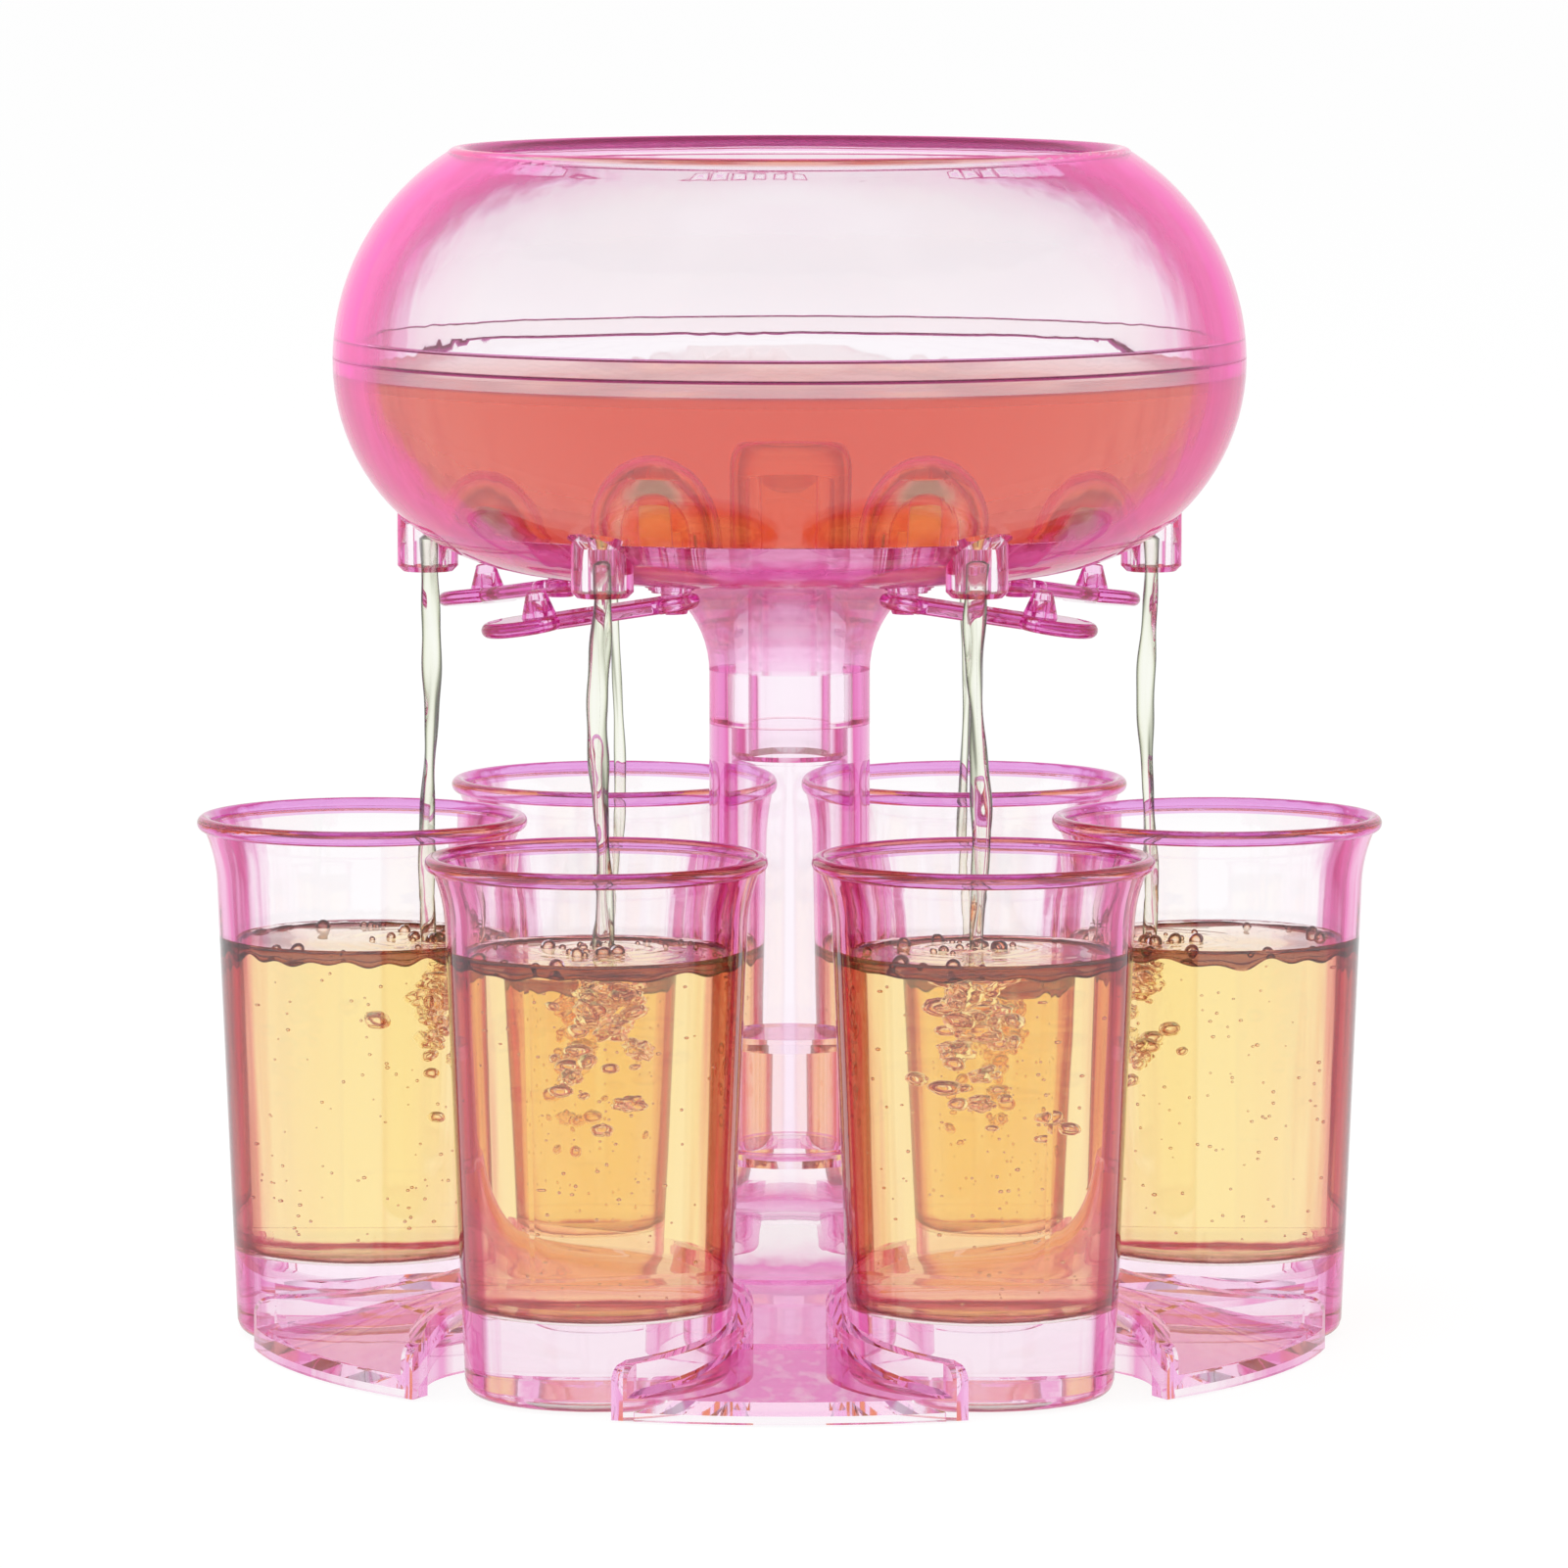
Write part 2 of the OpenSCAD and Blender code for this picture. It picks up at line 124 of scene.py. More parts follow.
def noise(tree, scale, detail, stretch):
    """A noise texture in object space, stretched along the axes."""
    mapping = tree.nodes.new("ShaderNodeMapping")
    mapping.inputs["Scale"].default_value = stretch
    texture = tree.nodes.new("ShaderNodeTexNoise")
    texture.inputs["Scale"].default_value = scale
    texture.inputs["Detail"].default_value = detail
    tree.links.new(object_place(tree), mapping.inputs["Vector"])
    tree.links.new(mapping.outputs["Vector"], texture.inputs["Vector"])
    return texture.outputs["Fac"]


def remap(tree, source, low, high):
    """Spreads a noise over the values from low to high."""
    node = tree.nodes.new("ShaderNodeMapRange")
    node.inputs["From Min"].default_value = NOISE_LOW
    node.inputs["From Max"].default_value = NOISE_HIGH
    node.inputs["To Min"].default_value = low
    node.inputs["To Max"].default_value = high
    tree.links.new(source, node.inputs["Value"])
    return node.outputs["Result"]


def bump(tree, source, distance):
    node = tree.nodes.new("ShaderNodeBump")
    node.inputs["Strength"].default_value = 1
    node.inputs["Distance"].default_value = distance
    tree.links.new(source, node.inputs["Height"])
    return node.outputs["Normal"]


def ramp(tree, source, stops):
    """A colour ramp through (position, colour) stops."""
    node = tree.nodes.new("ShaderNodeValToRGB")
    elements = node.color_ramp.elements
    elements[0].position = 0
    elements[1].position = stops[-1][0]
    elements[0].color = (*stops[0][1], 1)
    elements[1].color = (*stops[-1][1], 1)
    for position, colour in stops[1:-1]:
        elements.new(position).color = (*colour, 1)
    tree.links.new(source, node.inputs["Fac"])
    return node.outputs["Color"]


def facing(tree, normal):
    """0 where the surface is seen square on, 1 where it is seen edge on."""
    node = tree.nodes.new("ShaderNodeLayerWeight")
    node.inputs["Blend"].default_value = 0.5
    tree.links.new(normal, node.inputs["Normal"])
    return node.outputs["Facing"]


def object_place(tree):
    """The shaded point in its object's own space."""
    return tree.nodes.new("ShaderNodeTexCoord").outputs["Object"]


def object_height(tree):
    axes = tree.nodes.new("ShaderNodeSeparateXYZ")
    tree.links.new(object_place(tree), axes.inputs["Vector"])
    return axes.outputs["Z"]


def line_at(tree, height, half_width):
    """1 within half_width of a height in the object's space, 0 elsewhere."""
    return calc(tree, "COMPARE", object_height(tree), height, half_width)


def below(tree, height):
    """1 under a height in the object's space, 0 above it."""
    return calc(tree, "LESS_THAN", object_height(tree), height)


def core_between(tree, radius, low, high):
    """1 within a distance of the object's axis and between two heights, 0 elsewhere."""
    flat = tree.nodes.new("ShaderNodeVectorMath")
    flat.operation = "MULTIPLY"
    flat.inputs[1].default_value = (1, 1, 0)
    away = tree.nodes.new("ShaderNodeVectorMath")
    away.operation = "LENGTH"
    tree.links.new(object_place(tree), flat.inputs[0])
    tree.links.new(flat.outputs[0], away.inputs[0])
    near = calc(tree, "LESS_THAN", away.outputs["Value"], radius)
    return calc(tree, "MULTIPLY", near, line_at(tree, (low + high) / 2, (high - low) / 2))


# ---- Plastic and drink --------------------------------------------------------------

PLASTIC_IOR = 1.49
DRINK_IOR = 1.34
# What is left of white light on its way through the plastic
PINK_LEFT = (0.84, 0.0, 0.67)
SEAM_TINT = (0.35, 0.04, 0.2)
RIM_TINT = (0.8, 0.38, 0.78)
# Painted light: the golden tint of the lobes and the middle of the bowl's floor stands in for light
# shining up through the drink there
LOBE_PAINTED_LIGHT = (1.0, 0.88, 0.6)
# How much light the thin walls of the flare let straight through, and its tint
THIN_SHARE = 0.5
THIN_TINT = (0.98, 0.8, 0.92)
# Tints of the light that let_light_out lets pass
PLASTIC_SHADE = (0.99, 0.93, 0.97)
DRINK_SHADE = (0.99, 0.9, 0.8)
# A path of light with more bounces than this leaves the walls that it is caught in.
LONGEST_PATH = 10
# Noises, each as its scale, detail and stretch
STREAK_LINES = (330, 2.0, (1, 1, 0.05))
MOULD_WAVES = (90, 1.5, (1, 1, 0.45))
SCUFFS = (900, 3.0, (1, 1, 1))
DRINK_SWIRL = (70, 1.0, (1, 1, 0.6))
RELIEF = 0.03 * MM
SCUFF_ROUGHNESS = 0.03
SURFACE_ROUGHNESS = 0.3
SURFACE_DEPTH = 1 * MM
# What a clear pink wall lets through, from seen square on to seen edge on
BOWL_EDGE = [(0.0, (0.995, 0.99, 0.995)), (0.33, (0.99, 0.98, 0.99)), (0.42, (0.985, 0.91, 0.96)),
             (0.5, (0.985, 0.84, 0.94)), (0.56, (0.95, 0.45, 0.75)), (0.62, (0.9, 0.1, 0.38)),
             (0.7, (0.82, 0.0, 0.13)), (0.82, (0.82, 0.0, 0.13)), (0.9, (0.85, 0.03, 0.2)),
             (1.0, (0.6, 0.0, 0.1))]
TUBE_EDGE = [(0.0, (0.99, 0.97, 0.985)), (0.26, (0.975, 0.91, 0.955)), (0.33, (0.9, 0.6, 0.78)),
             (0.4, (0.6, 0.02, 0.2)), (0.47, (0.7, 0.06, 0.35)), (0.6, (0.72, 0.1, 0.4)),
             (0.8, (0.7, 0.15, 0.4)), (0.92, (0.5, 0.05, 0.25)), (1.0, (0.2, 0.01, 0.08))]
BASE_EDGE = [(0.0, (0.995, 0.97, 0.985)), (0.3, (0.985, 0.93, 0.96)), (0.42, (0.95, 0.72, 0.85)),
             (0.55, (0.75, 0.12, 0.42)), (0.7, (0.82, 0.25, 0.56)), (0.85, (0.7, 0.12, 0.4)),
             (1.0, (0.3, 0.02, 0.15))]
CUP_EDGE = [(0.0, (0.99, 0.98, 0.985)), (0.33, (0.985, 0.95, 0.97)), (0.42, (0.85, 0.42, 0.68)),
            (0.5, (0.5, 0.04, 0.2)), (0.6, (0.68, 0.03, 0.24)), (0.7, (0.8, 0.2, 0.5)),
            (0.8, (0.65, 0.08, 0.3)), (0.9, (0.5, 0.04, 0.18)), (1.0, (0.2, 0.01, 0.08))]
# The same for the drink, a bubble's skin and the streams
DRINK_EDGE = [(0.0, (1.0, 1.0, 1.0)), (0.12, (0.99, 0.95, 0.93)), (0.19, (0.9, 0.6, 0.54)),
              (0.243, (0.62, 0.26, 0.23)), (0.277, (0.4, 0.13, 0.13)), (0.305, (0.16, 0.02, 0.03)),
              (0.326, (0.32, 0.05, 0.06)), (0.345, (0.12, 0.01, 0.02)), (0.37, (0.15, 0.01, 0.03)),
              (0.42, (1, 1, 1)), (1.0, (1, 1, 1))]
BOWL_DRINK_EDGE = [(0.0, (1.0, 1.0, 1.0)), (0.15, (0.99, 0.96, 0.95)), (0.22, (0.9, 0.66, 0.72)),
                   (0.3, (0.6, 0.22, 0.3)), (0.37, (0.4, 0.08, 0.14)), (0.42, (1, 1, 1)), (1.0, (1, 1, 1))]
BUBBLE_EDGE = [(0.0, (1, 0.98, 0.95)), (0.14, (0.95, 0.8, 0.65)), (0.26, (0.3, 0.08, 0.06)),
               (0.45, (0.06, 0.005, 0.01)), (0.6, (0.3, 0.08, 0.06)), (0.8, (0.05, 0.0, 0.01)),
               (1.0, (0.02, 0, 0.01))]
STREAM_EDGE = [(0.0, (0.94, 0.95, 0.88)), (0.14, (0.84, 0.86, 0.72)), (0.28, (0.42, 0.44, 0.32)),
               (0.4, (0.1, 0.11, 0.07)), (0.55, (0.02, 0.02, 0.015)), (1.0, (0.01, 0.01, 0.01))]
BLOOM_PINK = (0.82, 0.17, 0.5)
BLOOM_SHARE = [(0.0, (0, 0, 0)), (0.52, (0, 0, 0)), (0.66, (0.45, 0.45, 0.45)),
               (0.8, (0.35, 0.35, 0.35)), (1.0, (0.15, 0.15, 0.15))]


def clear_bsdf(tree, tint):
    """A surface that light passes straight through, tinted."""
    node = tree.nodes.new("ShaderNodeBsdfTransparent")
    node.inputs["Color"].default_value = (*tint, 1)
    return node.outputs["BSDF"]


def let_light_out(tree, shader, tint):
    """Lamps shine through, and light caught in a wall for long leaves it, tinted."""
    path = tree.nodes.new("ShaderNodeLightPath")
    caught = calc(tree, "GREATER_THAN", path.outputs["Ray Depth"], LONGEST_PATH)
    either = calc(tree, "MAXIMUM", caught, path.outputs["Is Shadow Ray"])
    return mix_shaders(tree, either, shader, clear_bsdf(tree, tint))


def see_through(tree, shader, factor, share, tint):
    """Where factor is 1, a share of the light passes straight through the thin walls, tinted."""
    passing = calc(tree, "MULTIPLY", factor, share)
    return mix_shaders(tree, passing, shader, clear_bsdf(tree, tint))


def bloom(tree, shader, level):
    """The milky pink that a moulded edge scatters where it is seen nearly edge on."""
    haze = tree.nodes.new("ShaderNodeBsdfDiffuse")
    haze.inputs["Color"].default_value = (*BLOOM_PINK, 1)
    return mix_shaders(tree, ramp(tree, level, BLOOM_SHARE), shader, haze.outputs["BSDF"])


def absorb(tree, output, colour, density):
    volume = tree.nodes.new("ShaderNodeVolumeAbsorption")
    volume.inputs["Color"].default_value = (*colour, 1)
    volume.inputs["Density"].default_value = density
    tree.links.new(volume.outputs["Volume"], output.inputs["Volume"])


def clear_surface(name, ior, waves, streaks):
    """A see-through material with low waves on it.

    Its level says how nearly edge on it is seen. Fine upright streaks move the level up and
    down, as flow lines do in moulded plastic.
    """
    material, tree, output = new_material(name)
    shader = tree.nodes.new("ShaderNodeBsdfPrincipled")
    shader.inputs["Transmission Weight"].default_value = 1
    shader.inputs["IOR"].default_value = ior
    normal = bump(tree, noise(tree, *waves), RELIEF)
    tree.links.new(normal, shader.inputs["Normal"])
    shift = remap(tree, noise(tree, *STREAK_LINES), -streaks, streaks)
    level = calc(tree, "ADD", facing(tree, normal), shift)
    return material, tree, output, shader, level


def clear_plastic(name, density, edge, streaks=0.04, seams=(), seam_tint=SEAM_TINT, painted_light=None,
                  thin=None, foot=None, haze=False):
    """Moulded clear pink plastic: deep colour along its edges, flow waves, streaks, fine scuffs.

    seams are dark lines. Two cores (see core_between) can be given: one painted golden, which is painted
    light standing in for light that shines up through the drink at the lobes, and one that is thin. Below
    foot it has the column's colours.
    """
    material, tree, output, shader, level = clear_surface(name, PLASTIC_IOR, MOULD_WAVES, streaks)
    colour = ramp(tree, level, edge)
    if foot:
        colour = blend(tree, colour, below(tree, foot), ramp(tree, level, TUBE_EDGE))
    for height, half_width in seams:
        colour = blend(tree, colour, line_at(tree, height, half_width), (*seam_tint, 1), "MULTIPLY")
    # Painted light: the golden core, for light that shines up through the drink at the lobes
    if painted_light:
        colour = blend(tree, colour, core_between(tree, *painted_light), (*LOBE_PAINTED_LIGHT, 1))
    tree.links.new(colour, shader.inputs["Base Color"])
    scuffs = remap(tree, noise(tree, *SCUFFS), 0, SCUFF_ROUGHNESS)
    tree.links.new(scuffs, shader.inputs["Roughness"])
    seen = shader.outputs["BSDF"]
    if haze:
        seen = bloom(tree, seen, level)
    if thin:
        seen = see_through(tree, seen, core_between(tree, *thin), THIN_SHARE, THIN_TINT)
    seen = let_light_out(tree, seen, PLASTIC_SHADE)
    tree.links.new(seen, output.inputs["Surface"])
    absorb(tree, output, PINK_LEFT, density)
    return material


def drink_material(name, left, density, edge=DRINK_EDGE, surface=None):
    """Clear liquid, or with no density a film of it, such as the skin of a bubble.

    At the height of the surface it is rough, as if with ripples too small to draw.
    """
    material, tree, output, shader, level = clear_surface(name, DRINK_IOR, DRINK_SWIRL, 0.04)
    tree.links.new(ramp(tree, level, edge), shader.inputs["Base Color"])
    shader.inputs["Roughness"].default_value = 0
    if surface:
        rough = calc(tree, "MULTIPLY", line_at(tree, surface, SURFACE_DEPTH), SURFACE_ROUGHNESS)
        tree.links.new(rough, shader.inputs["Roughness"])
    seen = let_light_out(tree, shader.outputs["BSDF"], DRINK_SHADE)
    tree.links.new(seen, output.inputs["Surface"])
    if density:
        absorb(tree, output, left, density)
    return material


# ---- Stage and light ----------------------------------------------------------------

FLOOR_SIZE = 60
FLOOR_Z = -0.3 * MM
FLOOR_WHITE = 0.96
FLOOR_GLOW = 0.88
# Grey of the sky from the horizon up, as (height, grey)
SKY = [(0.0, (1, 1, 1)), (0.35, (1, 1, 1)), (0.8, (0.4, 0.4, 0.4))]
SKY_LIGHT = 0.95
LAMP_AIM = Vector((0, 0, 0.08))


def seen_directly(tree):
    """1 for camera, glossy and transmission rays, 0 for the rays that carry light."""
    path = tree.nodes.new("ShaderNodeLightPath")
    total = path.outputs["Is Camera Ray"]
    for kind in ("Is Glossy Ray", "Is Transmission Ray"):
        total = calc(tree, "MAXIMUM", total, path.outputs[kind])
    return total


def add_floor():
    bpy.ops.mesh.primitive_plane_add(size=FLOOR_SIZE, location=(0, 0, FLOOR_Z))
    floor = bpy.context.object
    floor.name = "floor"
    material, tree, output = new_material("floor_white")
    diffuse = tree.nodes.new("ShaderNodeBsdfDiffuse")
    diffuse.inputs["Color"].default_value = (FLOOR_WHITE, FLOOR_WHITE, FLOOR_WHITE, 1)
    glow = tree.nodes.new("ShaderNodeEmission")
    share = calc(tree, "MULTIPLY", seen_directly(tree), FLOOR_GLOW)
    seen = mix_shaders(tree, share, diffuse.outputs["BSDF"], glow.outputs["Emission"])
    tree.links.new(seen, output.inputs["Surface"])
    floor.data.materials.append(material)


def add_world():
    """Even light; seen directly, it is white at the horizon and greyer overhead."""
    world = bpy.data.worlds.new("studio")
    SCENE.world = world
    world.use_nodes = True
    tree = world.node_tree
    tree.nodes.clear()
    output = tree.nodes.new("ShaderNodeOutputWorld")
    background = tree.nodes.new("ShaderNodeBackground")
    coords = tree.nodes.new("ShaderNodeTexCoord")
    axes = tree.nodes.new("ShaderNodeSeparateXYZ")
    tree.links.new(coords.outputs["Generated"], axes.inputs["Vector"])
    sky = ramp(tree, axes.outputs["Z"], SKY)
    seen = blend(tree, (SKY_LIGHT, SKY_LIGHT, SKY_LIGHT, 1), seen_directly(tree), sky)
    tree.links.new(seen, background.inputs["Color"])
    tree.links.new(background.outputs["Background"], output.inputs["Surface"])


def add_softbox(name, place, size, power):
    data = bpy.data.lights.new(name, "AREA")
    data.shape = "RECTANGLE"
    data.size, data.size_y = size
    data.energy = power
    lamp = bpy.data.objects.new(name, data)
    lamp.visible_glossy = False
    lamp.visible_transmission = False
    lamp.location = place
    lamp.rotation_euler = (LAMP_AIM - Vector(place)).to_track_quat("-Z", "Y").to_euler()
    SCENE.collection.objects.link(lamp)


# ---- Meshes -------------------------------------------------------------------------

ON_AXIS = 1e-7


def add_object(name, mesh):
    """Makes an object of the scene from a bmesh."""
    data = bpy.data.meshes.new(name)
    mesh.to_mesh(data)
    mesh.free()
    obj = bpy.data.objects.new(name, data)
    SCENE.collection.objects.link(obj)
    return obj


def smooth(obj, angle):
    """Shades smooth, with creases where faces meet at more than the angle in degrees."""
    obj.data.shade_smooth()
    obj.data.set_sharp_from_angle(angle=math.radians(angle))


def lathe(name, profile, steps, centre=(0, 0)):
    """A closed solid of revolution from (radius, height) points, axis to axis, going up."""
    mesh = bmesh.new()
    circles = []
    for radius, height in profile:
        if radius < ON_AXIS:
            circles.append([mesh.verts.new((centre[0], centre[1], height))] * steps)
            continue
        circle = []
        for k in range(steps):
            angle = 2 * math.pi * k / steps
            x = centre[0] + radius * math.cos(angle)
            y = centre[1] + radius * math.sin(angle)
            circle.append(mesh.verts.new((x, y, height)))
        circles.append(circle)
    for low, high in zip(circles, circles[1:]):
        for k in range(steps):
            corners = [low[k], low[(k + 1) % steps], high[(k + 1) % steps], high[k]]
            corners = list(dict.fromkeys(corners))
            if len(corners) > 2:
                mesh.faces.new(corners)
    return add_object(name, mesh)


def arc(centre, radius, start, end, count):
    """Points of an arc, angles in degrees."""
    angles = np.radians(np.linspace(start, end, count))
    return [(centre[0] + radius * math.cos(a), centre[1] + radius * math.sin(a)) for a in angles]


# ---- The drink ----------------------------------------------------------------------

# It is a touch wider than the hollow that it fills, so that no air gap shows between them.
WETTING = 0.25 * MM

# The bowl's dimensions, as in the solids
UNDERSIDE = 111.6 * MM
ROUND_R = 30.2 * MM
RING_R = 35.8 * MM
RING_Z = UNDERSIDE + ROUND_R
BOWL_WALL = 2.6 * MM
FLOOR_MID = UNDERSIDE + 10.4 * MM
FLOOR_RIM = UNDERSIDE + 7.8 * MM
BOSS_R = 6.6 * MM
BOSS_TOP = UNDERSIDE + 23.6 * MM
BOSS_EDGE = 1.6 * MM
LOBE_R = 8.4 * MM
LOBE_DRAFT = 0.6 * MM
LOBE_Z = UNDERSIDE + 13.5 * MM
LOBE_RING_R = 33.5 * MM
NOZZLE_RING_R = 52.4 * MM
NOZZLE_TIP_Z = UNDERSIDE - 0.3 * MM
SEAM_Z = UNDERSIDE + 30.9 * MM
TONGUE_Z = SEAM_Z + 2.8 * MM
STATIONS = 6
BOWL_LEVEL = 139.9 * MM
BOWL_SWELL = 0.22 * MM
BOWL_STEPS = 192
LOBE_STEPS = 64

# The glasses' dimensions, as in the solids, and how full they are
GLASS_FLOOR = 12.3 * MM
GLASS_WALL = 2.2 * MM
GLASS_FOOT_R = 18.5 * MM
GLASS_NECK_R = 21.1 * MM
GLASS_NECK_Z = 65 * MM
GLASS_RIM_Z = 75 * MM
GLASS_CORNER = 2 * MM
GLASS_LEVELS = [57.5, 50, 50, 57.5, 62, 62]
GLASS_SWELL = 0.3 * MM
GLASS_STEPS = 120

# Waves round the place where a stream falls in, and the share and numbers of the slow swell
WAVE_LENGTH = 3.2 * MM
WAVE_REACH = 5 * MM
SWELL_SHARE = 0.35
SURFACE_BAND = 0.02 * MM

# The range of a random phase and of a random direction, and where each set of draws starts
PHASE = (0, 6.28)
FULL_TURN = (0, 2 * math.pi)
BUBBLE_SEED, FROTH_SEED, EDGE_SEED, STREAM_SEED = 40, 80, 120, 160

# The ring of nearly opaque dark drink where the drink meets a glass, painted shade for the dark line seen
# there: half its width and height
EDGE_THICK = 0.65 * MM
EDGE_TALL = 0.95 * MM
EDGE_WOBBLE = 0.8
EDGE_STEPS = 240
EDGE_SIDES = 10
EDGE_WAVES = 7

# How many bubbles of each kind a glass has, and how deep the parts of the air pocket are
SPECKS = 110
ROUND_BUBBLES = 26
FROTH_BUBBLES = 34
POCKET_DEPTHS = (3.2, 5.5, 7.8, 10.5, 13.5, 17, 21)
BUBBLE_SKIN = 0.09 * MM

STREAM_R = [1.5, 1.05, 1.05, 1.6, 1.85, 1.8]
STREAM_SECTIONS = 120
STREAM_SIDES = 20
STREAM_SWAY = 0.75 * MM
STREAM_DIP = 1.5 * MM
# How far up its nozzle a stream starts, so that the plug doesn't meet it
PLUG_ROOM = 5.2 * MM


def station(number, radius):
    """The place of station 1 to 6 at a distance from the axis."""
    angle = math.radians(60 * (number - 1))
    return Vector((radius * math.cos(angle), radius * math.sin(angle), 0))


def subtract(obj, cutters):
    for cutter in cutters:
        modifier = obj.modifiers.new("cut", "BOOLEAN")
        modifier.operation = "DIFFERENCE"
        modifier.solver = "EXACT"
        modifier.object = cutter
    bpy.context.view_layer.update()
    graph = bpy.context.evaluated_depsgraph_get()
    data = bpy.data.meshes.new_from_object(obj.evaluated_get(graph))
    obj.modifiers.clear()
    obj.data = data
    for cutter in cutters:
        bpy.data.objects.remove(cutter)


def finish_liquid(obj, material, body, angle=55, bubbles=None):
    obj.data.materials.clear()
    obj.data.materials.append(material)
    if bubbles:
        obj.data.materials.append(bubbles)
    smooth(obj, angle)
    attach(obj, body)


def ripple(obj, level, height, entries=()):
    """A slow swell at a level surface, and waves round the places where streams fall in."""
    for vertex in obj.data.vertices:
        x, y, z = vertex.co
        if abs(z - level) > SURFACE_BAND:
            continue
        lift = SWELL_SHARE * math.sin(x * 310 + y * 190) * math.sin(y * 270 - x * 90)
        for entry in entries:
            away = math.hypot(x - entry.x, y - entry.y)
            lift += math.cos(away * 2 * math.pi / WAVE_LENGTH) * math.exp(-away / WAVE_REACH)
        vertex.co.z += height * lift


def ring(name, centre, radius, z, rng):
    """A closed ring of liquid against a wall, whose section swells and shrinks along it."""
    mesh = bmesh.new()
    waves = [(rng.integers(3, 23), rng.uniform(*PHASE), rng.uniform(0.3, 1))
             for _ in range(EDGE_WAVES)]
    sections = []
    for k in range(EDGE_STEPS):
        angle = 2 * math.pi * k / EDGE_STEPS
        swell = sum(a * math.sin(n * angle + p) for n, p, a in waves) / 4
        tall = EDGE_TALL * (1 + EDGE_WOBBLE * swell)
        section = []
        for m in range(EDGE_SIDES):
            turn = 2 * math.pi * m / EDGE_SIDES
            r = radius + EDGE_THICK * math.cos(turn)
            section.append(mesh.verts.new((centre.x + r * math.cos(angle),
                                           centre.y + r * math.sin(angle),
                                           z + tall * math.sin(turn) - EDGE_TALL * 0.5 * swell)))
        sections.append(section)
    for k in range(EDGE_STEPS):
        here, there = sections[k], sections[(k + 1) % EDGE_STEPS]
        for m in range(EDGE_SIDES):
            n = (m + 1) % EDGE_SIDES
            mesh.faces.new((here[m], there[m], there[n], here[n]))
    return add_object(name, mesh)


def add_ball(mesh, place, size, rng, detail, crumple=0.0, hollow=True, slot=0):
    """A bubble or the skin round one, stretched to size and crumpled by waves.

    A hollow one faces inwards, as air in a liquid does.
    """
    made = bmesh.ops.create_icosphere(mesh, subdivisions=detail, radius=1)["verts"]
    phases = rng.uniform(*PHASE, 6)
    spin = Vector(rng.uniform(-1, 1, 3)).to_track_quat("Z", "Y")
    for vertex in made:
        x, y, z = vertex.co
        folds = (math.sin(3.1 * x + phases[0]) * math.sin(4.3 * y + phases[1])
                 + 0.6 * math.sin(6.7 * z + phases[2]) * math.sin(5.3 * x + phases[3])
                 + 0.35 * math.sin(11 * y + phases[4]) * math.sin(9 * z + phases[5]))
        stretched = Vector((x * size[0], y * size[1], z * size[2])) * (1 + crumple * folds)
        vertex.co = spin @ stretched + place
    faces = list(dict.fromkeys(face for vertex in made for face in vertex.link_faces))
    for face in faces:
        face.material_index = slot
    if hollow:
        bmesh.ops.reverse_faces(mesh, faces=faces)


def bowl_drink(material):
    """The bowl's filling, down to the floor between the boss and the six lobes."""
    radius = ROUND_R - BOWL_WALL + WETTING
    floor_slope = (FLOOR_RIM - FLOOR_MID) / (RING_R + ROUND_R)
    level_angle = -math.degrees(math.asin((RING_Z - BOWL_LEVEL) / radius))
    wall = [p for p in arc((RING_R, RING_Z), radius, -90, level_angle, 70)
            if p[1] > FLOOR_MID + floor_slope * p[0] - WETTING]
    boss = arc((BOSS_R - BOSS_EDGE, BOSS_TOP - BOSS_EDGE), BOSS_EDGE - WETTING, 90, 0, 8)
    # The surface climbs a little at the wall.
    reach = wall[-1][0]
    top = [(reach - 0.1 * MM, BOWL_LEVEL + 0.5 * MM), (reach - 0.9 * MM, BOWL_LEVEL + 0.1 * MM)]
    across = [(r, BOWL_LEVEL) for r in np.linspace(reach - 2.2 * MM, 0, 60)]
    foot = (BOSS_R - WETTING, FLOOR_MID + floor_slope * BOSS_R - WETTING)
    profile = [(0, boss[0][1])] + boss + [foot] + wall + top + across
    obj = lathe("bowl_drink", profile, BOWL_STEPS)
    lobe = [(0, UNDERSIDE), (LOBE_R + LOBE_DRAFT - WETTING, UNDERSIDE)]
    lobe += [(max(r, 0), z) for r, z in arc((0, LOBE_Z), LOBE_R - WETTING, 0, 90, 20)]
    cutters = []
    for number in range(1, STATIONS + 1):
        place = station(number, LOBE_RING_R)
        cutters.append(lathe(f"lobe_cutter_{number}", lobe, LOBE_STEPS, (place.x, place.y)))
    subtract(obj, cutters)
    ripple(obj, BOWL_LEVEL, BOWL_SWELL)
    finish_liquid(obj, material, "bowl", 40)


def glass_centre(i):
    low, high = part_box(f"glass_{i}")
    return (low + high) / 2


def inner_radius(z):
    taper = (GLASS_NECK_R - GLASS_FOOT_R) * z / GLASS_NECK_Z
    return GLASS_FOOT_R + taper - GLASS_WALL + WETTING


